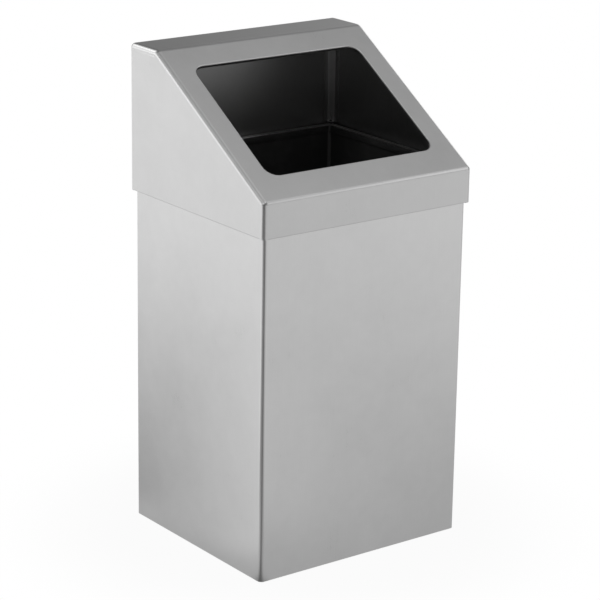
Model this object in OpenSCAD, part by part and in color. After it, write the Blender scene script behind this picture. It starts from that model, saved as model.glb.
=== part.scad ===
// Free-standing waste receptacle of folded stainless sheet, with a lift-off hood that has a sloping face,
// and a black steel liner inside. Millimetres; X to the right, Y to the back, Z up; the origin is on the
// floor under the middle of the body.

/* [Body] */
// Width of the body across its outer faces
body_w = 329; // [260:1:420]
// Depth of the body across its outer faces
body_d = 295; // [240:1:380]
// Height from the lower edge of the panels to the top of the rim
body_h = 514.5; // [380:0.5:700]
// Thickness of the stainless sheet
sheet = 1; // [0.8:0.1:1.5]
// Outer radius of the body's folds and of the hood's rounded edges
fold_r = 6.5; // [3:0.25:8]
// Width of the flanges at the rear, on which the back panel is lapped
rear_flange = 16; // [10:1:30]

/* [Rim] */
// Width of the ledge that the body's rim is turned inwards
rim_w = 7; // [6:0.5:10]
// Depth of the lip that is turned down at the ledge's inner edge
rim_drop = 9; // [5:0.5:14]
// Outer radius of the rim's two folds
rim_r = 2; // [1.6:0.1:2.5]

/* [Base] */
// Height of the base floor above the lower edge of the panels
base_lift = 10; // [9:0.5:16]
// Depth of the base pan's flange
base_flange = 9; // [6:0.5:9]

/* [Hood] */
// Gap between the hood's skirt and the body, on each side
hood_gap = 3.5; // [2:0.1:6]
// Height of the upright band below the sloping face
band_h = 47.5; // [30:0.5:70]
// Rise of the sloping face
slope_rise = 151.5; // [110:0.5:190]
// Depth of the flat strip on top
top_strip = 62; // [40:0.5:80]
// Outer radius of the blunt fold between the sloping face and the strip on top
top_fold_r = 14; // [12:1:24]
// Height of the hem folded inside the skirt's lower edge
hem_h = 8; // [5:0.5:12]
// Flat land on the cover between its rounded edge and the cheek's weld
weld_land = 2; // [1:0.5:5]

/* [Opening] */
// Margin of the sloping face beside the opening
side_margin = 34.8; // [25:0.1:60]
// Margin of the sloping face below the opening
lower_margin = 42.5; // [30:0.5:70]
// Margin of the sloping face above the opening
upper_margin = 38.5; // [20:0.5:60]
// Corner radius of the opening
opening_r = 17.5; // [10:0.5:30]
// Outer radius of the rolled mouth of the opening
mouth_r = 1.5; // [1.2:0.1:2.5]
// Depth of the opening's flange below the sloping face
mouth_drop = 4.5; // [3:0.5:8]

/* [Hood corner strips] */
// Distance from the hood's inner corner to the fold of a strip
strip_leg = 7.5; // [7:0.5:9.5]
// Width of a strip's welding flanges
strip_flange = 7; // [5:0.5:12]
// Land on a strip's foot past the buffer's pad
foot_land = 1; // [0.5:0.25:3]
// Height of a buffer's pad, which rests on the rim
pad_h = 2; // [1:0.25:4]
// Diameter of a buffer's pad
pad_d = 6; // [4:0.5:6.5]
// Diameter of the hole in the foot for the buffer's neck
neck_d = 2.4; // [1.6:0.2:3]

/* [Liner] */
// Thickness of the liner's sheet
liner_sheet = 0.8; // [0.6:0.1:1.2]
// Outer radius of the liner's folds
liner_r = 3; // [2.5:0.25:5]
// Gap between the liner and the lip of the rim, on each side
liner_gap = 1.5; // [1:0.25:4]
// Depth of the liner's top edge below the top of the rim
liner_drop = 1.5; // [1:0.5:10]
// Height of the hem folded inside the liner's top edge
liner_hem = 9; // [6:0.5:15]
// Height of the liner's bottom above its standing edge
liner_lift = 11; // [10:0.5:20]
// Depth of the flange of the liner's bottom
liner_flange = 8.5; // [5:0.5:9]
// Length of a hand slot in the liner
slot_w = 95; // [80:1:130]
// Height of a hand slot in the liner
slot_h = 30; // [25:1:40]
// Distance from the liner's top edge to a hand slot
slot_top = 34; // [15:1:60]

/* [Feet] */
// Diameter of a rubber foot where it meets the base
foot_d = 30; // [24:1:40]
// Height of the panels' lower edge above the floor
foot_proud = 1.5; // [1:0.25:4]
// Distance from the body's outer faces to the middle of a foot
foot_inset = 30; // [24:1:50]
// Diameter of the foot screws
screw_d = 5; // [4:0.5:6]

/* [Hidden] */
$fn = 48;

seat_gap = 0.3;          // air left where two pieces only rest on each other
past = 1;                // how far a cut runs past what it cuts
fold_steps = 8;          // straight steps in which a fold is drawn
blunt_steps = 4;         // the same for the blunt fold on the hood
soft_fn = 32;            // fineness of the hood's rounded edges
bead_fn = 16;            // fineness of a pressed bead
hem_gap = 0.4;           // air inside a hem
hem_flat = 0.2;          // flat left between a hem's two folds
tuck = 0.02;             // how far an added piece stays under the face of the sheet that it grows from
bite = 0.6;              // how far an added piece runs into the sheet beside it
snug = 0.1;              // play round a neck or a thread, on its radius
min_fold = 1.4;          // sheets' thicknesses in the outer radius of a small fold

stainless = [0.72, 0.73, 0.74];
stainless_dark = [0.6, 0.61, 0.62];
rubber = [0.1, 0.1, 0.1];
zinc = [0.55, 0.56, 0.58];
liner_black = [0.06, 0.06, 0.065];

// Heights
rim_top = foot_proud + body_h;
base_top = foot_proud + base_lift;
base_under = base_top - sheet;

// The hood goes round the body; its sloping face comes down onto the front of the rim
hood_w = body_w + 2 * (hood_gap + sheet);
hood_d = body_d + 2 * (hood_gap + sheet);
slope_run = hood_d - top_strip;
slope_angle = atan(slope_rise / slope_run);
slope_length = norm([slope_run, slope_rise]);
rim_roll_y = hood_gap + sheet + rim_r;
lip_z = rim_top - rim_r - rim_roll_y * tan(slope_angle) + (rim_r + seat_gap + sheet) / cos(slope_angle);
skirt_z = lip_z - band_h;
hood_top = lip_z + slope_rise;
hood_lip = [-hood_d / 2, lip_z];
hood_back = [hood_d / 2, hood_top];
hood_side = [[-hood_d / 2, skirt_z], hood_lip,
             each arc_at(hood_lip, [hood_d / 2 - top_strip, hood_top], hood_back, top_fold_r, blunt_steps),
             hood_back, [hood_d / 2, skirt_z]];
cheek_inset = fold_r + weld_land;
hem_deep = 2 * sheet + hem_gap;
hem_fold = (hem_deep - hem_flat) / 2;
opening_w = hood_w - 2 * side_margin;
opening_l = slope_length - lower_margin - upper_margin;

// Hood corner strips: a buffer's pad stands on the middle of the rim's ledge
strip_bottom = rim_top + seat_gap + pad_h;
strip_top = hood_top - sheet - fold_r;
strip_fold_r = 2 * sheet;
pad_at = hood_gap + rim_w / 2;
foot_end = sqrt(2) * pad_at + pad_d / 2 + foot_land;    // from the hood's inner corner
strip_facet = strip_leg / sqrt(2);    // from the hood's inner corner to the strip's outer face
strip_foot_w = strip_leg * sqrt(2);
cap_over = 0.9;          // how far a buffer's cap stands over its neck
cap_h = 1.4;
bead_d = 2.6;            // width of the pressed bead above a strip's foot
bead_h = 9;
bead_start = 4;          // from the foot's underside to the bead

// Liner, from the opening that the rim leaves
liner_w = body_w - 2 * (rim_w + liner_gap);
liner_d = body_d - 2 * (rim_w + liner_gap);
liner_z = base_top + seat_gap;
liner_top = rim_top - liner_drop;
liner_bottom_top = liner_z + liner_lift;
liner_seam = 0.2;        // butt seam down the middle of the liner's back
liner_hem_deep = 2 * liner_sheet + hem_gap;
liner_hem_fold = (liner_hem_deep - hem_flat) / 2;

// Feet and what holds them
foot_taper = 2;
foot_edge_r = 1.5;
washer_h = 1;
washer_d = 2.2 * screw_d;
head_d = 1.8 * screw_d;
head_h = 0.6 * screw_d;
head_depth = 1;          // depth of the screw's head above the floor
recess_h = head_depth + head_h + washer_h;
recess_d = washer_d + 1;
hole_d = screw_d + 0.4;
nut_h = 0.8 * screw_d;
nut_d = 1.85 * screw_d;
thread_end = 1.5;        // length of thread past the nut
screw_end = base_top + nut_h + thread_end;
foot_x = body_w / 2 - foot_inset;
foot_y = body_d / 2 - foot_inset;

// ---- Folded sheet -------------------------------------------------------------------------------------

function left_of(h) = [-sin(h), cos(h)];
function heading(a, b) = atan2(b[1] - a[1], b[0] - a[0]);
// Turn at a corner of a path, positive to the left
function turn(p, q, s) = let (t = heading(q, s) - heading(p, q)) t > 180 ? t - 360 : t < -180 ? t + 360 : t;

// One face of a sheet that is folded along a path: the path is its left face, the sheet lies to the right
// of it, r is the radius outside each fold, and deep is how far below the left face this face lies
function sheet_face(path, thick, r, deep) = [
    path[0] - deep * left_of(heading(path[0], path[1])),
    for (i = [1 : len(path) - 2])
        let (h = heading(path[i - 1], path[i]),
             t = turn(path[i - 1], path[i], path[i + 1]),
             side = sign(t),
             bend = side < 0 ? r : r - thick,
             centre = path[i] + side * bend / cos(t / 2) * left_of(h + t / 2))
            for (k = [0 : fold_steps])
                centre - side * (bend + side * deep) * left_of(h + t * k / fold_steps),
    path[len(path) - 1] - deep * left_of(heading(path[len(path) - 2], path[len(path) - 1]))
];

// Arc of the radius r in place of the corner q of a path
function arc_at(p, q, s, r, steps) =
    let (h = heading(p, q),
         t = turn(p, q, s),
         centre = q + sign(t) * r / cos(t / 2) * left_of(h + t / 2))
        [for (k = [0 : steps]) centre - sign(t) * r * left_of(h + t * k / steps)];

function reversed(list) = [for (i = [len(list) - 1 : -1 : 0]) list[i]];

// Section of a sheet folded along a path, drawn as one outline
module folded_section(path, thick, r) {
    polygon(concat(sheet_face(path, thick, r, 0), reversed(sheet_face(path, thick, r, thick))));
}

// Straight rail along one side of a rectangle of the size w by d, with mitred ends. The child is its
// section: x runs inwards from the rectangle's edge and y runs up. The side is 0 at the front, then
// anticlockwise
module mitred_rail(w, d, side, reach, low, high) {
    run = side % 2 == 0 ? w : d;
    away = side % 2 == 0 ? d : w;
    rotate([0, 0, 90 * side]) intersection() {
        translate([-run / 2, -away / 2, 0]) rotate([90, 0, 90]) linear_extrude(run) children();
        translate([0, 0, low]) linear_extrude(high - low)
            polygon([[-run / 2, -away / 2], [run / 2, -away / 2],
                     [run / 2 - reach, -away / 2 + reach], [-run / 2 + reach, -away / 2 + reach]]);
    }
}

// Block whose upright edges are rounded in the same steps as a sheet's folds
module rounded_block(w, d, h, r) {
    corners = [[1, 1], [-1, 1], [-1, -1], [1, -1]];
    linear_extrude(h) polygon([
        for (i = [0 : 3], k = [0 : fold_steps])
            let (a = 90 * (i + k / fold_steps))
                [corners[i][0] * (w / 2 - r), corners[i][1] * (d / 2 - r)] + r * [cos(a), sin(a)]
    ]);
}

// ---- Body ---------------------------------------------------------------------------------------------

// Section of the rim: up the wall, inwards along the ledge and down the lip
module rim_section() {
    folded_section([[0, -rim_drop], [0, 0], [rim_w, 0], [rim_w, -rim_drop]], sheet, rim_r);
}

module rim_rail(side) {
    translate([0, 0, rim_top])
        mitred_rail(body_w, body_d, side, rim_w + past, -rim_drop - past, past) rim_section();
}

// Front and sides are one sheet; its rear flanges stand one sheet inside the back face
module body_wrap() {
    rear_y = body_d / 2 - sheet;
    plan = [[body_w / 2 - rear_flange, rear_y], [body_w / 2, rear_y], [body_w / 2, -body_d / 2],
            [-body_w / 2, -body_d / 2], [-body_w / 2, rear_y], [-body_w / 2 + rear_flange, rear_y]];
    wall_h = body_h - rim_r;
    color(stainless) {
        difference() {
            translate([0, 0, foot_proud]) linear_extrude(wall_h) folded_section(plan, sheet, fold_r);
            // The rear flanges stop under the lip of the rim
            translate([-body_w / 2 + fold_r, rear_y - sheet - past, rim_top - rim_drop - past])
                cube([body_w - 2 * fold_r, sheet + 2 * past, rim_drop + 2 * past]);
        }
        intersection() {
            for (side = [0, 1, 3]) rim_rail(side);
            translate([0, -sheet / 2, rim_top - rim_drop - past])
                rounded_block(body_w, body_d - sheet, rim_drop + 2 * past, fold_r);
        }
    }
}

module body_back_panel() {
    panel_w = body_w - 2 * fold_r;
    color(stainless) {
        translate([-panel_w / 2, body_d / 2 - sheet, foot_proud]) cube([panel_w, sheet, body_h - rim_r]);
        intersection() {
            rim_rail(2);
            translate([-panel_w / 2, 0, rim_top - rim_drop - past])
                cube([panel_w, body_d, rim_drop + 2 * past]);
        }
    }
}

// Tray turned upside down, which fits inside four walls: a floor with its flanges folded down. The flanges
// are cut back at the corners, clear of the walls' folds of the outer radius r
module turned_pan(w, d, top, flange, thick, r) {
    reach = r + past;
    difference() {
        union() {
            for (side = [0 : 3]) translate([0, 0, top]) mitred_rail(w, d, side, reach, -flange - past, past)
                folded_section([[0, -flange], [0, 0], [reach, 0]], thick, min_fold * thick);
            translate([-w / 2 + r, -d / 2 + r, top - thick])
                cube([w - 2 * r, d - 2 * r, thick]);
        }
        for (x = [-1, 1], y = [-1, 1]) translate([x * w / 2, y * d / 2, top - flange - past])
            cylinder(r = r, h = flange + 2 * past);
    }
}

// The pan stands in front of the wrap's rear flanges, so its middle is half a sheet ahead of the body's
module base_pan() {
    color(stainless_dark) difference() {
        translate([0, -sheet / 2, 0])
            turned_pan(body_w - 2 * sheet, body_d - 3 * sheet, base_top, base_flange, sheet, fold_r);
        at_feet() translate([0, 0, base_under - past]) cylinder(d = hole_d, h = sheet + 2 * past);
    }
}

// ---- Feet ---------------------------------------------------------------------------------------------

module at_feet() {
    for (x = [-1, 1], y = [-1, 1]) translate([x * foot_x, y * foot_y, 0]) children();
}

module foot(x, y) {
    color(rubber) translate([x * foot_x, y * foot_y, 0]) rotate_extrude()
        polygon([[recess_d / 2, 0], [foot_d / 2 - foot_taper - foot_edge_r, 0],
                 [foot_d / 2 - foot_taper, foot_edge_r], [foot_d / 2, base_under],
                 [hole_d / 2, base_under], [hole_d / 2, recess_h], [recess_d / 2, recess_h]]);
}

module foot_screws() {
    seat = recess_h - washer_h;
    color(zinc) at_feet() {
        translate([0, 0, seat]) cylinder(d = screw_d, h = screw_end - seat);
        difference() {
            translate([0, 0, head_depth]) cylinder(d = head_d, h = head_h);
            translate([0, 0, head_depth - past]) cylinder(d = screw_d / 2, h = past + head_h / 2, $fn = 6);
        }
    }
}

module foot_washers() {
    color(zinc) at_feet() translate([0, 0, recess_h - washer_h]) difference() {
        cylinder(d = washer_d, h = washer_h);
        translate([0, 0, -past]) cylinder(d = hole_d, h = washer_h + 2 * past);
    }
}

module foot_nuts() {
    color(zinc) at_feet() translate([0, 0, base_top]) difference() {
        cylinder(d = nut_d, h = nut_h, $fn = 6);
        translate([0, 0, -past]) cylinder(d = screw_d + 2 * snug, h = nut_h + 2 * past);
    }
}

// ---- Hood ---------------------------------------------------------------------------------------------

// Points of the hood's side outline, moved inwards by the given distance
function moved_in(p, q, s, by) = let (t = turn(p, q, s)) q - by / cos(t / 2) * left_of(heading(p, q) + t / 2);
function inset(points, by) = [
    points[0] + [by, 0],
    for (i = [1 : len(points) - 2]) moved_in(points[i - 1], points[i], points[i + 1], by),
    points[len(points) - 1] - [by, 0]
];
function lowered(points, by) = [
    for (i = [0 : len(points) - 1]) points[i] - [0, i == 0 || i == len(points) - 1 ? by : 0]
];

// Ball whose poles and equator lie at their full radius, so that what it rounds keeps its flat faces
module ball(r) {
    rotate_extrude($fn = soft_fn) polygon([for (a = [-90 : 360 / soft_fn : 90]) r * [cos(a), sin(a)]]);
}

// Block of the width w over an outline seen from the side, with every edge but those at its foot rounded
module soft_block(points, w, r) {
    core = inset(points, r);
    hull() for (s = [-1, 1]) translate([s * (w / 2 - r), 0, 0]) {
        for (i = [1 : len(core) - 2]) translate([0, core[i][0], core[i][1]]) ball(r);
        for (i = [0, len(core) - 1])
            translate([0, core[i][0], core[i][1]]) cylinder(r = r, h = r, $fn = soft_fn);
    }
}

// Prism across the whole width from an outline seen from the side
module across(w) {
    translate([-w / 2, 0, 0]) rotate([90, 0, 90]) linear_extrude(w) children();
}

// Places its children on the sloping face: x across, y up the slope, z out of the face
module on_slope() {
    translate([0, -hood_d / 2, lip_z]) rotate([slope_angle, 0, 0]) children();
}

// Section of the opening's rolled edge: x runs into the opening and y out of the face. The flange's face
// lies at x = 0, and the other end runs a little way into the sheet round the opening
module mouth_section() {
    folded_section([[-bite - mouth_r, -tuck], [0, -tuck], [0, -mouth_drop]], sheet, mouth_r);
}

// Rolled safety edge of the opening: four straight sides and four round corners of that section
module opening_mouth() {
    corner_x = opening_w / 2 - opening_r;
    corner_y = opening_l / 2 - opening_r;
    translate([0, lower_margin + opening_l / 2, 0]) for (quarter = [0 : 3]) rotate([0, 0, 90 * quarter]) {
        x = quarter % 2 == 0 ? corner_x : corner_y;
        y = quarter % 2 == 0 ? corner_y : corner_x;
        translate([x + opening_r, -y, 0]) rotate([90, 0, 180]) linear_extrude(2 * y) mouth_section();
        translate([x, y, 0]) rotate_extrude(angle = 90) translate([opening_r, 0]) mirror([1, 0])
            mouth_section();
    }
}

// The hole in the sloping face, as wide as the rolled mouth
module opening_cut() {
    w = opening_w + 2 * mouth_r;
    l = opening_l + 2 * mouth_r;
    r = opening_r + mouth_r;
    translate([0, lower_margin + opening_l / 2, -sheet - past]) {
        translate([-w / 2 + r, -l / 2, 0]) cube([w - 2 * r, l, sheet + 2 * past]);
        translate([-w / 2, -l / 2 + r, 0]) cube([w, l - 2 * r, sheet + 2 * past]);
        for (x = [-1, 1], y = [-1, 1])
            translate([x * (w / 2 - r), y * (l / 2 - r), 0]) cylinder(r = r, h = sheet + 2 * past);
    }
}

// Section of a hem at a sheet's edge: x runs inwards from the outer face and y away from the edge. Its
// outer end runs a little way up into the sheet that carries it
module hem_section(thick, deep, fold, h) {
    folded_section([[deep, h], [deep, 0], [0, 0], [0, fold + bite]], thick, fold);
}

// Hem inside the lower edge of the skirt, along the front of a rectangle of the depth d
module skirt_hem(run, d) {
    translate([-run / 2, -d / 2 + tuck, skirt_z]) rotate([90, 0, 90]) linear_extrude(run)
        hem_section(sheet - 2 * tuck, hem_deep - 2 * tuck, hem_fold - tuck, hem_h);
}

// What a hem takes off the skirt's square lower edge
module skirt_trim(run, d) {
    translate([-run / 2, -d / 2 - past, skirt_z - past]) cube([run, sheet + 2 * past, hem_fold + past]);
}

module hood_cover() {
    hem_w = hood_w - 2 * cheek_inset;
    color(stainless) {
        difference() {
            soft_block(hood_side, hood_w, fold_r);
            soft_block(lowered(inset(hood_side, sheet), past), hood_w - 2 * sheet, fold_r - sheet);
            across(hood_w + 2 * past) polygon(lowered(inset(hood_side, cheek_inset), past));
            on_slope() opening_cut();
            for (turn_by = [0, 180]) rotate([0, 0, turn_by]) skirt_trim(hem_w, hood_d);
        }
        on_slope() opening_mouth();
        for (turn_by = [0, 180]) rotate([0, 0, turn_by]) skirt_hem(hem_w, hood_d);
    }
}

// Flat end sheet of the hood, with a hem at its lower edge
module hood_cheek(s) {
    hem_w = hood_d - 2 * cheek_inset;
    color(stainless) {
        difference() {
            translate([s * (hood_w - sheet) / 2, 0, 0]) across(sheet) polygon(inset(hood_side, cheek_inset));
            rotate([0, 0, 90 * s]) skirt_trim(hem_w + 2 * past, hood_w);
        }
        rotate([0, 0, 90 * s]) skirt_hem(hem_w, hood_w);
    }
}

// Upright strip across the hood's rear corner, with a foot folded out of its lower end
module hood_strip(s) {
    x = hood_w / 2 - sheet;
    y = hood_d / 2 - sheet;
    plan = [[x - strip_leg - strip_flange, y], [x - strip_leg, y], [x, y - strip_leg],
            [x, y - strip_leg - strip_flange]];
    color(stainless_dark) mirror([s < 0 ? 1 : 0, 0, 0]) difference() {
        union() {
            translate([0, 0, strip_bottom]) linear_extrude(strip_top - strip_bottom)
                folded_section(plan, sheet, strip_fold_r);
            translate([x, y, strip_bottom]) rotate([0, 0, 135]) {
                translate([-strip_foot_w / 2, strip_facet + sheet / 2, 0])
                    cube([strip_foot_w, foot_end - strip_facet - sheet / 2, sheet]);
                // Pressed bead that stiffens the strip above its foot
                translate([0, strip_facet + sheet, bead_start]) hull()
                    for (z = [bead_d / 2, bead_h - bead_d / 2])
                        translate([0, 0, z]) sphere(d = bead_d, $fn = bead_fn);
            }
        }
        translate([x - pad_at, y - pad_at, strip_bottom - past])
            cylinder(d = neck_d + 2 * snug, h = sheet + 2 * past);
    }
}

// Rubber buffer: a pad under the foot, a neck through its hole and a cap above it
module hood_buffer(s) {
    x = hood_w / 2 - sheet - pad_at;
    y = hood_d / 2 - sheet - pad_at;
    color(rubber) translate([s * x, y, rim_top + seat_gap]) {
        cylinder(d = pad_d, h = pad_h);
        cylinder(d = neck_d, h = pad_h + sheet + cap_h);
        translate([0, 0, pad_h + sheet]) cylinder(d1 = neck_d + 2 * cap_over, d2 = neck_d, h = cap_h);
    }
}

// ---- Liner --------------------------------------------------------------------------------------------

// Box folded from one sheet, with a hem inside its top edge and a hand slot in each side
module liner_wrap() {
    back = liner_d / 2;
    side = liner_w / 2;
    plan = [[liner_seam / 2, back], [side, back], [side, -back], [-side, -back], [-side, back],
            [-liner_seam / 2, back]];
    color(liner_black) difference() {
        union() {
            translate([0, 0, liner_z]) linear_extrude(liner_top - liner_z - liner_hem_fold)
                folded_section(plan, liner_sheet, liner_r);
            intersection() {
                translate([0, 0, liner_top]) for (rail = [0 : 3])
                    mitred_rail(liner_w, liner_d, rail, liner_hem_deep + past, -liner_hem - past, past)
                        mirror([0, 1])
                            hem_section(liner_sheet, liner_hem_deep, liner_hem_fold, liner_hem);
                translate([0, 0, liner_top - liner_hem - past])
                    rounded_block(liner_w, liner_d, liner_hem + 2 * past, liner_r);
            }
        }
        for (s = [-1, 1]) liner_slot(s);
    }
}

module liner_slot(s) {
    r = slot_h / 2;
    deep = 2 * (liner_sheet + past);
    translate([s * liner_w / 2, 0, liner_top - slot_top - r]) {
        for (y = [-1, 1]) translate([0, y * (slot_w / 2 - r), 0]) rotate([0, 90, 0])
            cylinder(r = r, h = deep, center = true);
        cube([deep, slot_w - 2 * r, slot_h], center = true);
    }
}

module liner_bottom() {
    color(liner_black) turned_pan(liner_w - 2 * liner_sheet, liner_d - 2 * liner_sheet, liner_bottom_top,
                                  liner_flange, liner_sheet, liner_r);
}

body_wrap();
body_back_panel();
base_pan();
foot(-1, -1);  // foot_front_left
foot(1, -1);  // foot_front_right
foot(-1, 1);  // foot_rear_left
foot(1, 1);  // foot_rear_right
foot_screws();
foot_washers();
foot_nuts();
hood_cover();
hood_cheek(-1);  // hood_cheek_left
hood_cheek(1);  // hood_cheek_right
hood_strip(-1);  // hood_strip_left
hood_strip(1);  // hood_strip_right
hood_buffer(-1);  // hood_buffer_left
hood_buffer(1);  // hood_buffer_right
liner_wrap();
liner_bottom();
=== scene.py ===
"""Looks of a free-standing waste receptacle of folded stainless sheet with a sloping open hood.

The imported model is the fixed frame. This script gives every sheet its finish, makes finer feet, buffers,
screws and nuts, and sets the camera, the floor and the studio light. Lengths are in metres, except where a
docstring says millimetres.
"""

import logging
import math
from dataclasses import dataclass
from enum import Enum
from typing import Optional, Union

import bmesh
import bpy
import numpy as np
from mathutils import Matrix, Vector


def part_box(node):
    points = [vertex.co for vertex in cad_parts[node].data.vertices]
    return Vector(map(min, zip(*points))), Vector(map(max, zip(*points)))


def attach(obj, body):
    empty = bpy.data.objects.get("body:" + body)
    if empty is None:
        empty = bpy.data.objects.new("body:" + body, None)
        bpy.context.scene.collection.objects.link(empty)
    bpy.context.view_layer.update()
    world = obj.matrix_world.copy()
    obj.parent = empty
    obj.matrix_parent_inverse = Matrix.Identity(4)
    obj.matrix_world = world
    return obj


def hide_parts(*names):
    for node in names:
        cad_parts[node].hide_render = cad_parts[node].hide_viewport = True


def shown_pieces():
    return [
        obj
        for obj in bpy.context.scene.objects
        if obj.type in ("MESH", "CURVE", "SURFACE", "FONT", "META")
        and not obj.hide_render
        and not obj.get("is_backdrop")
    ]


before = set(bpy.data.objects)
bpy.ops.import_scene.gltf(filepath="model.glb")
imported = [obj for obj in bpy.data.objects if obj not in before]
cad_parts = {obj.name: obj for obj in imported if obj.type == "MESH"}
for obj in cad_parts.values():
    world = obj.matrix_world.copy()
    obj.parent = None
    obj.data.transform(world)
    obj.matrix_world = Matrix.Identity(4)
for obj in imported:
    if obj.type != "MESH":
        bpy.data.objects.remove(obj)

LOG = logging.getLogger("receptacle")
MM = 0.001
TAU = 2 * math.pi

# the inner mark picks the faces that the stainless finishes darken as painted shade
INNER = "inner"                     # name of the number that marks a mesh's inner faces
INNER_REACH = (10 * MM, 35 * MM)    # distances from the middle between which a face turns from inner to outer
SHEET_CREASE = math.radians(35)     # edges of a sheet are sharp from this angle on
TURNED_CREASE = math.radians(32)    # and edges of a turned part from this one
SAME_PLACE = 0.002 * MM             # corners of a sheet's triangles that are this close are one

Number = Union[int, float]
Point = tuple[float, float, float]
Span = tuple[float, float]
Colour = Union[bpy.types.NodeSocket, tuple[float, ...]]


# ---- Shader maths -------------------------------------------------------------------------------------


class Value:
    """A number that varies over the surface. Arithmetic on it adds Math nodes to its tree."""

    def __init__(self, graph: "Graph", socket: bpy.types.NodeSocket) -> None:
        """Wraps an output, in this graph's tree, that carries the number."""
        self.graph = graph
        self.socket = socket

    def _math(self, operation: str, *terms: "Operand") -> "Value":
        """The result of one Math node with this operation and with these inputs in order."""
        node = self.graph.node("ShaderNodeMath", dict(enumerate(terms)), operation=operation)
        return Value(self.graph, node.outputs[0])

    def __add__(self, other: "Operand") -> "Value":
        """self + other."""
        return self._math("ADD", self, other)

    def __radd__(self, other: Number) -> "Value":
        """other + self."""
        return self._math("ADD", other, self)

    def __sub__(self, other: "Operand") -> "Value":
        """self - other."""
        return self._math("SUBTRACT", self, other)

    def __rsub__(self, other: Number) -> "Value":
        """other - self."""
        return self._math("SUBTRACT", other, self)

    def __mul__(self, other: "Operand") -> "Value":
        """self * other."""
        return self._math("MULTIPLY", self, other)

    def __rmul__(self, other: Number) -> "Value":
        """other * self."""
        return self._math("MULTIPLY", other, self)

    def __truediv__(self, other: "Operand") -> "Value":
        """self / other."""
        return self._math("DIVIDE", self, other)

    def __pow__(self, other: "Operand") -> "Value":
        """self to the power of other."""
        return self._math("POWER", self, other)

    def __abs__(self) -> "Value":
        """The size of self without its sign."""
        return self._math("ABSOLUTE", self)

    def least(self, other: "Operand") -> "Value":
        """The smaller of self and other."""
        return self._math("MINIMUM", self, other)

    def most(self, other: "Operand") -> "Value":
        """The larger of self and other."""
        return self._math("MAXIMUM", self, other)

    def swing(self, amount: Number) -> "Value":
        """How far a noise is from its middle, times an amount: (self - 0.5) * amount."""
        return (self - 0.5) * amount

    def rise(self, low: Number, high: Number) -> "Value":
        """A smooth step.

        Args:
            low: the value at which it is still 0.
            high: the value from which it is 1.

        Returns:
            0 below low, 1 above high, and 3 t^2 - 2 t^3 between.
        """
        ends = {"Value": self, "From Min": low, "From Max": high}
        node = self.graph.node("ShaderNodeMapRange", ends, interpolation_type="SMOOTHSTEP")
        return Value(self.graph, node.outputs["Result"])


Operand = Union[Value, Number]


class Graph:
    """The node tree of one material or of the world."""

    def __init__(self, tree: bpy.types.NodeTree) -> None:
        """Takes a tree and empties it."""
        self.tree = tree
        tree.nodes.clear()

    def node(self, kind: str, sockets: Optional[dict] = None, **settings: str) -> bpy.types.Node:
        """Adds a node.

        Args:
            kind: the node's type.
            sockets: each input's name or number, and its value, its Value or the socket that feeds it.
            settings: what is set on the node before its sockets.

        Returns:
            The node.
        """
        made = self.tree.nodes.new(kind)
        for name, setting in settings.items():
            setattr(made, name, setting)
        for name, source in (sockets or {}).items():
            if isinstance(source, Value):
                source = source.socket
            if isinstance(source, bpy.types.NodeSocket):
                self.tree.links.new(source, made.inputs[name])
            else:
                made.inputs[name].default_value = source
        return made

    def place(self) -> bpy.types.NodeSocket:
        """The point on the object, in metres."""
        return self.node("ShaderNodeTexCoord").outputs["Object"]

    def coordinates(self) -> tuple[Value, Value, Value]:
        """X, Y and Z of the point on the object, in metres."""
        node = self.node("ShaderNodeSeparateXYZ", {0: self.place()})
        return tuple(Value(self, node.outputs[axis]) for axis in "XYZ")

    def mask(self, name: str) -> Value:
        """A number that the mesh carries under this name."""
        return Value(self, self.node("ShaderNodeAttribute", attribute_name=name).outputs["Fac"])

    def rays(self, *kinds: str) -> Value:
        """Tells what kind of ray sees the point.

        Args:
            kinds: outputs of the Light Path node.

        Returns:
            1 where one of these kinds sees the point, otherwise 0.
        """
        path = self.node("ShaderNodeLightPath")
        seen = Value(self, path.outputs[kinds[0]])
        for kind in kinds[1:]:
            seen = seen.most(Value(self, path.outputs[kind]))
        return seen

    def noise(self, size: Union[float, Point], detail: Number = 2, rough: Number = 0.5) -> Value:
        """Smooth noise.

        Args:
            size: the size of its blotches, the same all round or along each axis.
            detail: how many finer octaves are added.
            rough: how strong each finer octave is.

        Returns:
            Numbers around 0.5, mostly from 0.3 to 0.7.
        """
        lengths = size if isinstance(size, tuple) else (size,) * 3
        ends = {0: self.place(), 1: tuple(1 / length for length in lengths)}
        where = self.node("ShaderNodeVectorMath", ends, operation="MULTIPLY").outputs[0]
        ends = {"Vector": where, "Scale": 1.0, "Detail": detail, "Roughness": rough}
        return Value(self, self.node("ShaderNodeTexNoise", ends).outputs[0])

    def blend(self, factor: Operand, low: Colour, high: Colour) -> bpy.types.NodeSocket:
        """The colour that runs from low, where the factor is 0, to high, where it is 1."""
        return self.node("ShaderNodeMix", {0: factor, 6: low, 7: high}, data_type="RGBA").outputs[2]

    def scaled(self, colour: Colour, factor: Value) -> bpy.types.NodeSocket:
        """A colour, which is a socket or three numbers, times a factor."""
        ends = {0: colour, "Scale": factor}
        return self.node("ShaderNodeVectorMath", ends, operation="SCALE").outputs[0]

    def bump(self, height: Value, depth: Number, strength: Number = 1.0) -> bpy.types.NodeSocket:
        """The normal with a relief on it: heights from 0 to 1 times a depth in metres, at a strength."""
        ends = {"Height": height, "Distance": depth, "Strength": strength}
        return self.node("ShaderNodeBump", ends).outputs[0]

    def surface(self, sockets: dict) -> None:
        """Ends the tree with one Principled shader that has these inputs."""
        shader = self.node("ShaderNodeBsdfPrincipled", sockets)
        self.node("ShaderNodeOutputMaterial", {"Surface": shader.outputs[0]})


def grey(level: float) -> tuple[float, float, float, float]:
    """A neutral colour: the level is its red, green and blue."""
    return (level, level, level, 1.0)


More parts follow.
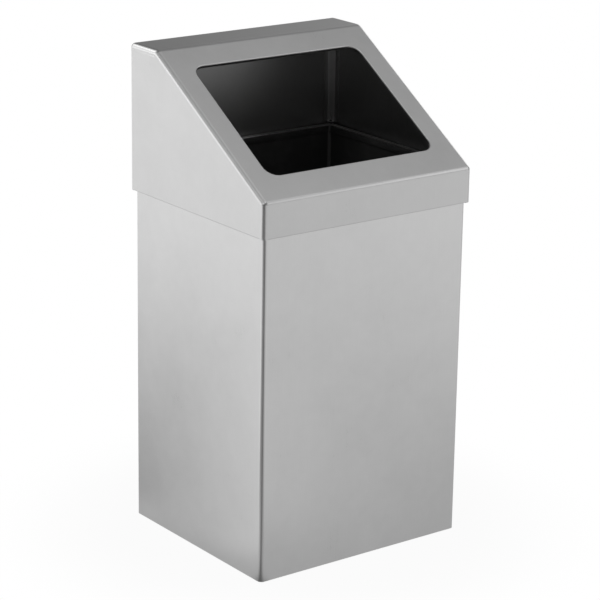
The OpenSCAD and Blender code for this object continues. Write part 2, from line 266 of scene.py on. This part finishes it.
def new_material(name: str) -> tuple[bpy.types.Material, Graph]:
    """Starts a material.

    Args:
        name: its name.

    Returns:
        The material, and its empty tree.
    """
    material = bpy.data.materials.new(name)
    material.use_nodes = True
    return material, Graph(material.node_tree)


# ---- Finishes -----------------------------------------------------------------------------------------


class Grain(Enum):
    """Which way the grinding marks of a sheet run, as the length of a mark along X, Y and Z."""

    UPRIGHT = (0.35 * MM, 0.35 * MM, 45 * MM)
    DOWN_THE_SLOPE = (0.35 * MM, 45 * MM, 45 * MM)


@dataclass(frozen=True)
class BrushedStainless:
    """Satin stainless sheet: faint clouds, fine grinding marks, and a duller inner side that is darker as
    painted shade.

    Its level runs over to side_level round the fold at each side of the object, where |x| is in side_span,
    so that a sheet that is folded onto a side matches the sheet beside it. Clouds and marks swing the
    colour by up to their share each way; each cloud_size comes with its share of the clouds.
    """

    name: str
    grain: Grain
    level: float = 0.71
    side_level: float = 0.71
    inner_painted_shade_level: float = 0.34
    side_span: Span = (166.5 * MM, 168.8 * MM)
    roughness: float = 0.30
    inner_roughness: float = 0.40
    clouds: float = 0.07
    marks: float = 0.03
    cloud_sizes: Span = (70 * MM, 16 * MM)
    cloud_shares: Span = (0.6, 0.4)
    cloud_roughness: float = 0.1
    mark_roughness: float = 0.05
    mark_depth: float = 0.001 * MM

    def make(self) -> bpy.types.Material:
        """Makes the finish.

        Returns:
            The material.
        """
        material, graph = new_material(self.name)
        inner = graph.mask(INNER)
        large = graph.noise(self.cloud_sizes[0], 1) * self.cloud_shares[0]
        small = graph.noise(self.cloud_sizes[1], 2) * self.cloud_shares[1]
        cloud = large + small
        mark = graph.noise(self.grain.value, 2, 0.6)
        side = abs(graph.coordinates()[0]).rise(*self.side_span)
        outer = graph.blend(side, grey(self.level), grey(self.side_level))
        # painted shade: faces marked inner take the darker inner level
        colour = graph.blend(inner, outer, grey(self.inner_painted_shade_level))
        rough = inner * (self.inner_roughness - self.roughness) + self.roughness
        graph.surface({
            "Base Color": graph.scaled(colour, 1 + cloud.swing(2 * self.clouds) + mark.swing(2 * self.marks)),
            "Metallic": 1.0,
            "Roughness": rough + cloud.swing(self.cloud_roughness) + mark.swing(self.mark_roughness),
            "Normal": graph.bump(mark, self.mark_depth),
        })
        return material


@dataclass(frozen=True)
class MillStainless:
    """Plain sheet of the inner pieces: smooth, with soft clouds and a few long rolling marks."""

    name: str = "mill_stainless"
    level: float = 0.40
    roughness: float = 0.36
    cloud_size: float = 30 * MM
    mark_size: Point = (0.8 * MM, 60 * MM, 60 * MM)
    clouds: float = 0.08
    marks: float = 0.04
    cloud_roughness: float = 0.15
    mark_depth: float = 0.003 * MM

    def make(self) -> bpy.types.Material:
        """Makes the finish.

        Returns:
            The material.
        """
        material, graph = new_material(self.name)
        cloud = graph.noise(self.cloud_size)
        mark = graph.noise(self.mark_size)
        tone = 1 + cloud.swing(2 * self.clouds) + mark.swing(2 * self.marks)
        graph.surface({
            "Base Color": graph.scaled((self.level,) * 3, tone),
            "Metallic": 1.0,
            "Roughness": self.roughness + cloud.swing(self.cloud_roughness),
            "Normal": graph.bump(mark, self.mark_depth),
        })
        return material


@dataclass(frozen=True)
class PowderCoat:
    """Matt black powder coat with a fine orange peel, a little dusty, and paler along the box's folds as a
    painted highlight.

    The folds are where |x| and |y| both pass their spans.
    """

    name: str = "liner_powder_coat"
    level: float = 0.045
    dusty: float = 0.07
    # painted highlight: the coat's lighter colour along the folds
    painted_fold_highlight: float = 0.17
    fold_across: Span = (150.5 * MM, 154.0 * MM)
    fold_along: Span = (133.5 * MM, 137.0 * MM)
    peel_size: float = 1.3 * MM
    peel_depth: float = 0.05 * MM
    peel_strength: float = 0.6
    dust_size: float = 45 * MM
    dust_span: Span = (0.45, 0.75)
    roughness: float = 0.45
    dust_roughness: float = 0.12
    peel_roughness: float = 0.1

    def make(self) -> bpy.types.Material:
        """Makes the finish.

        Returns:
            The material.
        """
        material, graph = new_material(self.name)
        peel = graph.noise(self.peel_size, 2, 0.6)
        dust = graph.noise(self.dust_size, 4, 0.6).rise(*self.dust_span)
        x, y, _ = graph.coordinates()
        # painted highlight: mask of the box's folds, which take the lighter colour
        fold = abs(x).rise(*self.fold_across) * abs(y).rise(*self.fold_along)
        flat = graph.blend(dust, grey(self.level), grey(self.dusty))
        graph.surface({
            "Base Color": graph.blend(fold, flat, grey(self.painted_fold_highlight)),
            "Roughness": self.roughness + dust * self.dust_roughness + peel.swing(self.peel_roughness),
            "Normal": graph.bump(peel, self.peel_depth, self.peel_strength),
        })
        return material


@dataclass(frozen=True)
class MouldedRubber:
    """Black rubber with a fine spark-eroded texture and a paler bloom."""

    name: str = "black_rubber"
    level: float = 0.018
    bloomed: float = 0.04
    speck_size: float = 0.4 * MM
    speck_depth: float = 0.04 * MM
    speck_strength: float = 0.7
    bloom_size: float = 9 * MM
    bloom_span: Span = (0.4, 0.75)
    roughness: float = 0.68
    speck_roughness: float = 0.2

    def make(self) -> bpy.types.Material:
        """Makes the finish.

        Returns:
            The material.
        """
        material, graph = new_material(self.name)
        speck = graph.noise(self.speck_size)
        bloom = graph.noise(self.bloom_size, 3).rise(*self.bloom_span)
        graph.surface({
            "Base Color": graph.blend(bloom, grey(self.level), grey(self.bloomed)),
            "Roughness": self.roughness + speck.swing(self.speck_roughness),
            "Normal": graph.bump(speck, self.speck_depth, self.speck_strength),
        })
        return material


@dataclass(frozen=True)
class ZincPlate:
    """Bright zinc plate on small fasteners, faintly bluish, with dull spots."""

    name: str = "zinc_plate"
    dull: tuple[float, ...] = (0.50, 0.53, 0.58, 1.0)
    bright: tuple[float, ...] = (0.66, 0.67, 0.68, 1.0)
    spot_size: float = 1.6 * MM
    roughness: float = 0.28
    spot_roughness: float = 0.3

    def make(self) -> bpy.types.Material:
        """Makes the finish.

        Returns:
            The material.
        """
        material, graph = new_material(self.name)
        spots = graph.noise(self.spot_size, 3)
        graph.surface({
            "Base Color": graph.blend(spots, self.dull, self.bright),
            "Metallic": 1.0,
            "Roughness": self.roughness + spots.swing(self.spot_roughness),
        })
        return material


# ---- Surfaces -----------------------------------------------------------------------------------------


def show(name: str, data: bpy.types.ID) -> bpy.types.Object:
    """Puts data into the scene.

    Args:
        name: the object's name.
        data: a mesh or a camera.

    Returns:
        The object.
    """
    made = bpy.data.objects.new(name, data)
    bpy.context.scene.collection.objects.link(made)
    return made


def shade(mesh: bpy.types.Mesh, crease: float) -> None:
    """Shades a mesh smooth, apart from the edges whose angle is at least the crease, in radians."""
    mesh.polygons.foreach_set("use_smooth", np.ones(len(mesh.polygons), bool))
    mesh.set_sharp_from_angle(angle=crease)


def closed_rings(name: str, rings: np.ndarray, joined: bool) -> bpy.types.Object:
    """Makes a mesh from rings of points.

    The point (k, j, i) is corner i of ring j of copy k; each quad joins neighbours in both directions, and
    the last corner of a ring joins the first.

    Args:
        name: the piece's name.
        rings: the points, shaped (copies, rings, corners, 3), ring after ring with the outside on the left.
        joined: whether the last ring joins the first, as in a washer. Otherwise each end is closed with
            one flat face.

    Returns:
        The object, with smooth faces.
    """
    copies, rows, corners, _ = rings.shape
    index = np.arange(copies * rows * corners).reshape(copies, rows, corners)
    below = index if joined else index[:, :-1]
    above = np.roll(index, -1, 1) if joined else index[:, 1:]
    quads = np.stack([below, np.roll(below, -1, 2), np.roll(above, -1, 2), above], -1).reshape(-1, 4)
    faces = quads.tolist()
    if not joined:
        faces += index[:, 0, ::-1].tolist() + index[:, -1].tolist()
    mesh = bpy.data.meshes.new(name)
    mesh.from_pydata(rings.reshape(-1, 3), [], faces)
    shade(mesh, TURNED_CREASE)
    return show(name, mesh)


def rounded_profile(corners: list[Point], steps: int = 6) -> np.ndarray:
    """Profile with round corners: each corner is a quadratic curve that leaves its sides a radius away.

    For a corner C with the neighbours A and B, P(t) = (1-t)^2 a + 2 t (1-t) C + t^2 b, where a and b lie
    the radius away from C towards A and B. The last corner and the first are neighbours too.

    Args:
        corners: distance from the axis, height and rounding of each corner, in millimetres and in order.
        steps: points along each rounding.

    Returns:
        The points, shaped (n, 2), in millimetres.
    """
    points = np.array([corner[:2] for corner in corners], float)
    t = np.linspace(0, 1, steps)[:, None]
    made = []
    sides = zip(np.roll(points, 1, 0), points, np.roll(points, -1, 0), [corner[2] for corner in corners])
    for before, corner, after, rounding in sides:
        a = corner + (before - corner) / np.linalg.norm(before - corner) * rounding
        b = corner + (after - corner) / np.linalg.norm(after - corner) * rounding
        curve = (1 - t) ** 2 * a + 2 * t * (1 - t) * corner + t ** 2 * b
        made.append(curve if rounding else corner[None])
    return np.concatenate(made)


@dataclass(frozen=True)
class Turning:
    """Small turned or hexagonal parts, each copy round its own upright axis."""

    name: str
    spots: np.ndarray
    corners: int = 96

    @property
    def angle(self) -> np.ndarray:
        """The angles of the corners of a ring, in radians."""
        return np.arange(self.corners) * TAU / self.corners

    def hexagon(self, across_corners: float) -> np.ndarray:
        """Hexagon with a corner at angle 0: its half width over cos of the angle to the nearest flat.

        Args:
            across_corners: its width over two corners.

        Returns:
            Its radius at each angle, shaped (corners,).
        """
        half_flat = math.pi / 6
        from_flat = self.angle % (2 * half_flat) - half_flat
        return across_corners / 2 * math.cos(half_flat) / np.cos(from_flat)

    def solid(self, radius: np.ndarray, height: np.ndarray, joined: bool) -> bpy.types.Object:
        """Makes the copies: (x, y, z) = spot + (r cos a, r sin a, h).

        Args:
            radius: the radii in millimetres, shaped (rings, 1) or (rings, corners).
            height: the heights in millimetres, shaped (rings,).
            joined: whether the rings make a closed loop.

        Returns:
            The object.
        """
        radius = np.broadcast_to(radius, (len(height), self.corners))
        level = np.broadcast_to(height[:, None], radius.shape)
        points = np.stack([radius * np.cos(self.angle), radius * np.sin(self.angle), level], -1) * MM
        return closed_rings(self.name, points[None] + self.spots[:, None, None], joined)

    def turned(self, profile: np.ndarray, joined: bool) -> bpy.types.Object:
        """Turns a profile of radii and heights in millimetres, shaped (rings, 2); a joined one is a loop."""
        return self.solid(profile[:, :1], profile[:, 1], joined)


def smoothstep(value: np.ndarray, low: float, high: float) -> np.ndarray:
    """0 below low, 1 above high, and 3 t^2 - 2 t^3 between."""
    t = np.clip((value - low) / (high - low), 0, 1)
    return t * t * (3 - 2 * t)


def mark_inner(mesh: bpy.types.Mesh, middle: Point) -> None:
    """Marks the faces that look inwards.

    A face whose plane has the middle of its box well behind it is an outer face. So the mark is 1 minus
    a smooth step of the distance N . (P - M) from the middle M to the face's plane over INNER_REACH.

    Args:
        mesh: the mesh, which gets a number on each face.
        middle: a point inside the box that the sheets make.
    """
    count = len(mesh.polygons)
    normal, centre = np.empty(3 * count), np.empty(3 * count)
    mesh.polygons.foreach_get("normal", normal)
    mesh.polygons.foreach_get("center", centre)
    outward = (normal.reshape(-1, 3) * (centre.reshape(-1, 3) - np.array(middle))).sum(1)
    mark = mesh.attributes.new(INNER, "FLOAT", "FACE")
    mark.data.foreach_set("value", 1 - smoothstep(outward, *INNER_REACH))


def foot_of(nodes: tuple[str, ...]) -> np.ndarray:
    """The middle of the lower face of each node's box, shaped (nodes, 3)."""
    boxes = np.array([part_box(node) for node in nodes])
    return np.concatenate([boxes[:, :, :2].mean(1), boxes[:, 0, 2:]], 1)


@dataclass(frozen=True)
class Part:
    """A finish and where it goes: the body that the piece rides on. Its slot, the name of a material slot, is
    not used.
    """

    body: str
    material: bpy.types.Material
    slot: str

    def place(self, piece: bpy.types.Object, node: str) -> None:
        """Puts a new piece in the place of a CAD node.

        Args:
            piece: the new piece.
            node: the CAD node, which gets the same finish.
        """
        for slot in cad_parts[node].material_slots:
            slot.material = self.material
        piece.data.materials.clear()
        piece.data.materials.append(self.material)
        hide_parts(node)
        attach(piece, self.body)

    def smooth_copy(self, node: str, middle: Optional[Point] = None) -> None:
        """Copy of a CAD node with its triangles joined: its folds shade as round and its faces as flat.

        Args:
            node: the CAD node, which the copy stands for.
            middle: a point inside the box that the sheets make, for a finish whose inner side is darker as
                painted shade.
        """
        name = f"{node}_sheet"
        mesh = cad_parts[node].data.copy()
        mesh.name = name
        work = bmesh.new()
        work.from_mesh(mesh)
        bmesh.ops.remove_doubles(work, verts=work.verts, dist=SAME_PLACE)
        work.to_mesh(mesh)
        work.free()
        shade(mesh, SHEET_CREASE)
        if middle:
            mark_inner(mesh, middle)
        piece = show(name, mesh)
        weighted = piece.modifiers.new("flat_faces", "WEIGHTED_NORMAL")
        weighted.keep_sharp = True
        weighted.weight = 100
        self.place(piece, node)


# ---- Sub-assemblies -----------------------------------------------------------------------------------


@dataclass
class Body:
    """The folded body: wrap, back panel and base pan."""

    body: str = "body"
    sheets: tuple[str, ...] = ("body_wrap", "body_back_panel")
    pan: str = "base_pan"
    middle: Point = (0.0, 0.0, 0.25)

    def build(self, mill: bpy.types.Material) -> None:
        """Makes the sheets.

        Args:
            mill: finish of the base pan.
        """
        steel = Part(self.body, BrushedStainless("body_stainless", Grain.UPRIGHT).make(), "stainless")
        for node in self.sheets:
            steel.smooth_copy(node, self.middle)
        Part(self.body, mill, "stainless_inner").smooth_copy(self.pan)


@dataclass
class Hood:
    """The lift-off hood: cover, cheeks, corner strips and rubber buffers."""

    body: str = "hood"
    cover: str = "hood_cover"
    cheeks: tuple[str, ...] = ("hood_cheek_left", "hood_cheek_right")
    strips: tuple[str, ...] = ("hood_strip_left", "hood_strip_right")
    buffers: tuple[str, ...] = ("hood_buffer_left", "hood_buffer_right")
    middle: Point = (0.0, 0.02, 0.48)
    # the cover is darker than the cheeks: partly another sheet's own tone, partly painted shade
    cover_level_with_painted_shade: float = 0.62
    cheek_level: float = 0.68

    def build(self, mill: bpy.types.Material, rubber: bpy.types.Material) -> None:
        """Makes the sheets and the buffers.

        Args:
            mill: finish of the corner strips.
            rubber: finish of the buffers.
        """
        side = self.cheek_level
        cover = BrushedStainless("cover_stainless", Grain.DOWN_THE_SLOPE, self.cover_level_with_painted_shade, side)
        cheek = BrushedStainless("cheek_stainless", Grain.UPRIGHT, side, side)
        Part(self.body, cover.make(), "stainless").smooth_copy(self.cover, self.middle)
        cheek_part = Part(self.body, cheek.make(), "stainless")
        for node in self.cheeks:
            cheek_part.smooth_copy(node, self.middle)
        for node in self.strips:
            Part(self.body, mill, "stainless_inner").smooth_copy(node)
        for node in self.buffers:
            buffer = Turning(f"{node}_rubber", foot_of((node,))).turned(self._buffer(), False)
            Part(self.body, rubber, "rubber").place(buffer, node)

    @staticmethod
    def _buffer() -> np.ndarray:
        """Section of a buffer: the pad under the strip's foot, the neck through it and the cap above it.

        Returns:
            Its points in millimetres, shaped (n, 2).
        """
        return rounded_profile([
            (2.4, 0, 0), (3, 0, 0.4), (3, 2, 0.3), (1.2, 2, 0.1), (1.2, 3, 0.1), (2.1, 3, 0.15),
            (1.2, 4.4, 0.3), (0.5, 4.4, 0),
        ])


@dataclass
class Liner:
    """The black liner: wrap and bottom."""

    body: str = "liner"
    nodes: tuple[str, ...] = ("liner_wrap", "liner_bottom")

    def build(self) -> None:
        """Makes the liner."""
        coat = Part(self.body, PowderCoat().make(), "liner_black")
        for node in self.nodes:
            coat.smooth_copy(node)


@dataclass
class Feet:
    """Four rubber feet, and the socket screw, washer and nut that hold each of them.

    All sizes are in millimetres; heights count from the floor, and the nut's own from its lower face.
    """

    body: str = "body"
    feet: tuple[str, ...] = ("foot_front_left", "foot_front_right", "foot_rear_left", "foot_rear_right")
    top: float = 10.5               # upper face of a foot
    seat: float = 5.0               # end of the recess in the sole, which the washer lies against
    base: float = 11.5              # upper face of the base pan
    bore: float = 2.7               # radius of the hole in foot and washer
    recess: float = 6.0             # radius of the recess in the sole
    washer: float = 5.5             # radius of the washer
    washer_high: float = 1.0
    nut_corners: float = 9.25       # width of the nut over two corners
    nut_high: float = 4.0
    nut_bevel: float = 0.4          # height of the nut's bevels
    nut_cone: float = 4.0           # radius of the nut's chamfer cone at its face
    nut_slope: float = 1.9          # how fast that cone widens with the height
    nut_bore: Span = (2.6, 3.0)     # radius of the nut's hole, and of its mouth
    head: float = 4.5               # radius of the screw's head
    head_low: float = 1.0
    head_top: float = 4.0
    socket: float = 2.5             # width of the hexagon socket over two corners
    socket_end: float = 2.5         # height at which the socket ends
    socket_rim: float = 2.0         # radius of the flat round the socket
    shank: float = 2.5              # radius of the screw
    run_out: float = 0.5            # the thread runs out over this length, below the pan's upper face
    tip: float = 1.9                # radius of the screw's tip
    tip_bevel: float = 0.3
    past: float = 5.5               # the screw's length past the base pan
    pitch: float = 0.8
    thread_depth: float = 0.28
    thread_step: float = 0.08       # distance between the rings along the thread

    def build(self, rubber: bpy.types.Material) -> None:
        """Makes the feet and the fasteners.

        Args:
            rubber: finish of the feet.
        """
        spots = foot_of(self.feet)
        for node, spot in zip(self.feet, spots):
            foot = Turning(f"{node}_rubber", spot[None]).turned(self._foot(), True)
            Part(self.body, rubber, "rubber").place(foot, node)
        zinc = Part(self.body, ZincPlate().make(), "zinc_steel")
        zinc.place(Turning("washers", spots).turned(self._washer(), True), "foot_washers")
        zinc.place(self._nuts(Turning("hexagon_nuts", spots)), "foot_nuts")
        zinc.place(self._screws(Turning("socket_screws", spots)), "foot_screws")

    def _foot(self) -> np.ndarray:
        """Section of a foot: tapered side with a moulded bead, hole for the screw, and recess in the sole.

        Returns:
            Its points in millimetres, shaped (n, 2).
        """
        bore, recess = self.bore, self.recess
        return rounded_profile([
            (13, 0, 1.6), (13.6, 3.4, 0.4), (13.95, 3.6, 0.15), (14.1, 4.6, 0.15), (13.85, 4.8, 0.4),
            (15, self.top, 0.4), (bore, self.top, 0.2), (bore, self.seat, 0.2), (recess, self.seat, 0.3),
            (recess, 0, 0.6),
        ])

    def _washer(self) -> np.ndarray:
        """Section of a washer, its edges broken on the punched side.

        Returns:
            Its points in millimetres, shaped (n, 2).
        """
        low = self.seat - self.washer_high
        return rounded_profile([
            (self.washer, low, 0.1), (self.washer, self.seat, 0.3), (self.bore, self.seat, 0.12),
            (self.bore, low, 0.1),
        ])

    def _nuts(self, turning: Turning) -> bpy.types.Object:
        """Hexagon nuts: the radius is the smaller of the hexagon's and that of the two chamfer cones.

        Args:
            turning: their name and places.

        Returns:
            The object.
        """
        high, bevel = self.nut_high, self.nut_bevel
        bore, mouth = self.nut_bore
        height = np.concatenate([np.linspace(0, bevel, 6), np.linspace(high - bevel, high, 6)])
        cone = self.nut_cone + np.minimum(height, high - height)[:, None] * self.nut_slope
        outer = np.minimum(turning.hexagon(self.nut_corners), cone)
        hole = np.array([[mouth, high], [bore, high - bevel], [bore, bevel], [mouth, 0.0]])
        radius = np.concatenate([outer, np.repeat(hole[:, :1], turning.corners, 1)])
        return turning.solid(radius, np.concatenate([height, hole[:, 1]]) + self.base, True)

    def _screws(self, turning: Turning) -> bpy.types.Object:
        """Socket screws: r = shank - depth * |2 frac(h / pitch - a / 2 pi) - 1| along the shown thread.

        Args:
            turning: their name and places.

        Returns:
            The object.
        """
        end = self.base + self.past
        socket = np.repeat(turning.hexagon(self.socket)[None], 2, 0)
        head = rounded_profile([
            (self.socket_rim, self.head_low, 0), (self.head, self.head_low, 0.5),
            (self.head, self.head_top, 0.15), (self.shank, self.head_top, 0.1),
            (self.shank, self.base - self.run_out, 0),
        ])
        height = np.arange(self.base, end - self.tip_bevel, self.thread_step)
        turns = height[:, None] / self.pitch - turning.angle / TAU
        thread = self.shank - self.thread_depth * np.abs(2 * (turns % 1) - 1)
        tip = np.full((1, turning.corners), self.tip)
        radius = np.concatenate([socket, np.repeat(head[:, :1], turning.corners, 1), thread, tip])
        level = np.concatenate([[self.socket_end, self.head_low], head[:, 1], height, [end]])
        return turning.solid(radius, level, False)


# ---- Studio -------------------------------------------------------------------------------------------


@dataclass
class PhotoCamera:
    """Camera at the photograph's viewing angle. Angles are in degrees; the sensor is in millimetres."""

    azimuth: float = -36.9431
    elevation: float = 17.3591
    roll: float = 0.9204
    distance: float = 3.287
    aim: Point = (0.0, 0.0, 0.303)
    slide_right: float = 3.325 * MM
    slide_up: float = 16.715 * MM
    focal_pixels: float = 2434.2
    frame_pixels: float = 600
    sensor: float = 36.0
    clip_start: float = 0.1
    clip_end: float = 60.0

    def build(self) -> None:
        """Makes the camera and hands it to the scene.

        The camera looks along -back, where back = (sin a cos e, -cos a cos e, sin e); its sides are turned
        by the roll about that line.
        """
        a, e, r = (math.radians(angle) for angle in (self.azimuth, self.elevation, self.roll))
        back = Vector((math.sin(a) * math.cos(e), -math.cos(a) * math.cos(e), math.sin(e)))
        level = Vector((math.cos(a), math.sin(a), 0))
        over = back.cross(level)
        right = level * math.cos(r) + over * math.sin(r)
        up = over * math.cos(r) - level * math.sin(r)
        data = bpy.data.cameras.new("photo_camera")
        data.sensor_width = self.sensor
        data.lens = self.sensor * self.focal_pixels / self.frame_pixels
        data.clip_start = self.clip_start
        data.clip_end = self.clip_end
        camera = show("photo_camera", data)
        camera.matrix_world = Matrix((right, up, back)).transposed().to_4x4()
        aside = right * self.slide_right + up * self.slide_up
        camera.location = Vector(self.aim) + back * self.distance + aside
        bpy.context.scene.camera = camera


def bearing(azimuth: float) -> Span:
    """The level direction at an azimuth in degrees; 0 is behind the object, and 90 to its right."""
    return math.sin(math.radians(azimuth)), math.cos(math.radians(azimuth))


@dataclass(frozen=True)
class Glow:
    """A soft patch of light on the studio's walls: strength * max(0, cos of the angle to it) ^ tightness."""

    azimuth: float
    elevation: float
    strength: float
    tightness: float = 30

    def direction(self) -> Point:
        """The way to the patch."""
        (x, y), e = bearing(self.azimuth), math.radians(self.elevation)
        return (x * math.cos(e), y * math.cos(e), math.sin(e))


@dataclass(frozen=True)
class Stretch:
    """A stretch of the floor that is paler in the steel's reflections.

    It rises with the distance from the object's axis and fades to its sides:
    strength * smoothstep(distance, start, full) * max(0, cos of the azimuth from its middle) ^ tightness.
    A stretch with a strength below 0 is darker.
    """

    azimuth: float
    start: float
    full: float
    strength: float
    tightness: float = 8


@dataclass
class Studio:
    """Pale floor and soft room light."""

    ambient: float = 0.18
    glows: tuple[Glow, ...] = (
        Glow(-20, 30, 2.10),
        Glow(-40, 0, 1.75),
        Glow(60, 15, 1.38),
        Glow(-100, 45, 1.67),
        Glow(180, 75, 1.37),
        Glow(120, 30, 1.27),
        Glow(-60, 15, 1.01),
        Glow(140, 15, 0.86),
        Glow(100, 60, 0.75),
        Glow(180, 0, 0.55),
    )
    stretches: tuple[Stretch, ...] = (
        Stretch(0, 0.4, 2.4, 0.88),
        Stretch(-60, 0.1, 1.4, 0.50),
        Stretch(-80, 0.1, 0.6, 0.38),
        Stretch(180, 0.1, 0.6, 0.22),
        Stretch(120, 0.1, 1.4, 0.20),
        Stretch(140, 0.4, 2.4, 0.20),
        Stretch(-100, 0.3, 0.6, -0.64, 24),
        Stretch(-140, 0.2, 0.5, -0.23, 16),
        Stretch(-42, 0.22, 0.34, -0.12, 24),
        Stretch(-42, 1.0, 1.6, 0.16, 24),
        Stretch(-97, 0.17, 0.24, 0.20, 24),
        Stretch(-131, 0.205, 0.225, -0.36, 200),
    )
    floor_near: float = 0.49
    floor_height: float = -0.1 * MM
    floor_reach: float = 14.0
    floor_corners: int = 64
    floor_level: float = 0.88
    shadow: float = 0.06
    shadow_span: Span = (0.22, 0.45)

    def build(self) -> None:
        """Makes the floor and the room."""
        self._floor()
        self._room()
        bpy.context.scene.view_settings.view_transform = "Standard"

    def _floor(self) -> None:
        """Lays a round floor: (x, y, z) = (reach cos a, reach sin a, height)."""
        angle = np.arange(self.floor_corners) * TAU / self.floor_corners
        rim = np.stack([np.cos(angle), np.sin(angle), np.zeros_like(angle)], -1) * self.floor_reach
        rim[:, 2] = self.floor_height
        mesh = bpy.data.meshes.new("floor")
        mesh.from_pydata(rim, [], [list(range(self.floor_corners))])
        mesh.materials.append(self._floor_finish())
        show("floor", mesh)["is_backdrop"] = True

    def _floor_finish(self) -> bpy.types.Material:
        """Makes a floor that the camera sees as white, with the object's shadow on it.

        In reflections it is the same white, but grey near the object, as the object keeps the light off it.

        Returns:
            The material.
        """
        material, graph = new_material("pale_floor")
        x, y, _ = graph.coordinates()
        distance = (x * x + y * y) ** 0.5
        pale: Operand = self.floor_near
        for stretch in self.stretches:
            to_x, to_y = bearing(stretch.azimuth)
            side = ((x * to_x + y * to_y) / distance).most(0.0) ** stretch.tightness
            pale = pale + side * distance.rise(stretch.start, stretch.full) * stretch.strength
        camera = graph.rays("Is Camera Ray")
        mirrored = graph.rays("Is Glossy Ray", "Is Transmission Ray")
        unshaded = distance.rise(*self.shadow_span) * self.shadow + (1 - self.shadow)
        strength = camera.most(pale).least(1.0)
        matt = graph.node("ShaderNodeBsdfDiffuse", {"Color": grey(self.floor_level)}).outputs[0]
        white = graph.node("ShaderNodeEmission", {"Color": grey(1.0), "Strength": strength}).outputs[0]
        share = mirrored.most(camera * unshaded)
        mixed = graph.node("ShaderNodeMixShader", {0: share, 1: matt, 2: white}).outputs[0]
        graph.node("ShaderNodeOutputMaterial", {"Surface": mixed})
        return material

    def _room(self) -> None:
        """Sets the room's light: even, with soft patches on its walls. The camera sees it as white."""
        world = bpy.data.worlds.new("studio_room")
        world.use_nodes = True
        bpy.context.scene.world = world
        graph = Graph(world.node_tree)
        way = graph.node("ShaderNodeTexCoord").outputs["Generated"]
        light: Operand = self.ambient
        for glow in self.glows:
            ends = {0: way, 1: glow.direction()}
            dot = graph.node("ShaderNodeVectorMath", ends, operation="DOT_PRODUCT").outputs["Value"]
            light = light + Value(graph, dot).most(0.0) ** glow.tightness * glow.strength
        strength = graph.rays("Is Camera Ray") * (1 - light) + light
        lit = graph.node("ShaderNodeBackground", {"Color": grey(1.0), "Strength": strength}).outputs[0]
        graph.node("ShaderNodeOutputWorld", {"Surface": lit})


def main() -> None:
    """Builds the scene and reports each piece."""
    logging.basicConfig(level=logging.INFO, format="%(name)s: %(message)s")
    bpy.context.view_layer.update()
    PhotoCamera().build()
    Studio().build()
    mill = MillStainless().make()
    rubber = MouldedRubber().make()
    Body().build(mill)
    Hood().build(mill, rubber)
    Liner().build()
    Feet().build(rubber)
    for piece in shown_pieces():
        LOG.info("%s: %d faces", piece.name, len(piece.data.polygons))


if __name__ == "__main__":
    main()
